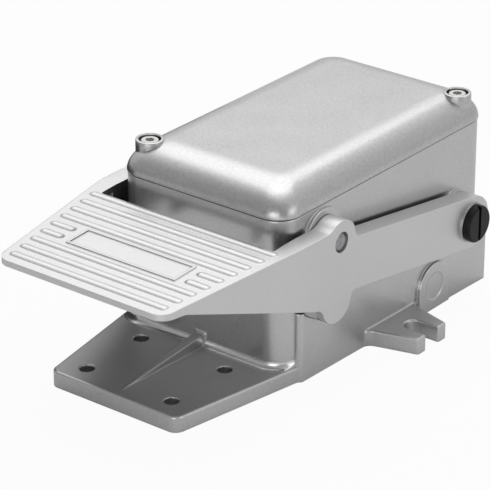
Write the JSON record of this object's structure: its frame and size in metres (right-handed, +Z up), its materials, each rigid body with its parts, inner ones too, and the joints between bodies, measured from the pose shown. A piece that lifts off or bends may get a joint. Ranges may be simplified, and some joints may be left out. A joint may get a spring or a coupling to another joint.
{
  "type": "foot pedal air valve",
  "caption": "Foot-operated air valve: cast housing with a base plate, side lugs and lid, and a ribbed pedal on long arms that rocks down and presses a spool valve inside.",
  "frame": {"origin": "centre of the base plate's four-hole pattern, on the underside", "axes": "+X to the right across the width, +Y from the pedal's toe to the rear wall with the air ports, +Z up"},
  "size_m": [0.1546, 0.2446, 0.0964],
  "materials": {
    "cast_body": "fine blasted casting",
    "cast_lid": "fine blasted casting",
    "cast_pedal": "fine blasted casting",
    "black_screw": "black oxide steel",
    "bush_bronze": "turned",
    "zinc_screw": "zinc plated",
    "bright_steel": "ground",
    "spring_steel": "drawn wire",
    "white_plastic": "moulded",
    "black_rubber": "matt",
    "valve_brass": "honed",
    "block_aluminium": "milled"
  },
  "bodies": {
    "base": {"housing": "cast_body", "cover": "cast_lid", "cover_gasket": "black_rubber", "cover_screws": "zinc_screw", "rest_stops": "black_rubber", "pivot_screw_left": "black_screw", "pivot_screw_right": "black_screw", "valve_block": "block_aluminium", "valve_sleeve": "valve_brass", "sleeve_seals": "black_rubber", "valve_cap": "block_aluminium", "stem_seal": "black_rubber", "cap_screws": "zinc_screw", "block_screws": "zinc_screw", "port_gasket": "black_rubber", "spring_seat": "bright_steel", "spool_spring": "spring_steel", "return_spring_left": "spring_steel", "return_spring_right": "spring_steel"},
    "treadle": {"pedal": "cast_pedal", "cross_pin": "bright_steel", "press_sleeve": "bright_steel", "guide_washer_left": "white_plastic", "guide_washer_right": "white_plastic", "spring_saddle_left": "white_plastic", "spring_saddle_right": "white_plastic", "pivot_bush_left": "bush_bronze", "pivot_bush_right": "bush_bronze"},
    "plunger": {"spool": "bright_steel", "tappet": "bright_steel"}
  },
  "joints": [
    {"name": "pedal_pivot", "type": "hinge", "parent": "base", "child": "treadle", "pos_m": [0, 0.1658, 0.0382], "axis": [1, 0, 0], "range_deg": [0, 5], "stiffness_Nm_per_rad": 20, "springref_deg": -14.32},
    {"name": "spool_slide", "type": "slide", "parent": "base", "child": "plunger", "axis": [0, 0, -1], "range_m": [0, 0.00945], "deforming": ["return_spring_left", "return_spring_right", "spool_spring"]}
  ],
  "couplings": [
    {"joint": "spool_slide", "follows": "pedal_pivot", "m_per_rad": 0.10692}
  ]
}
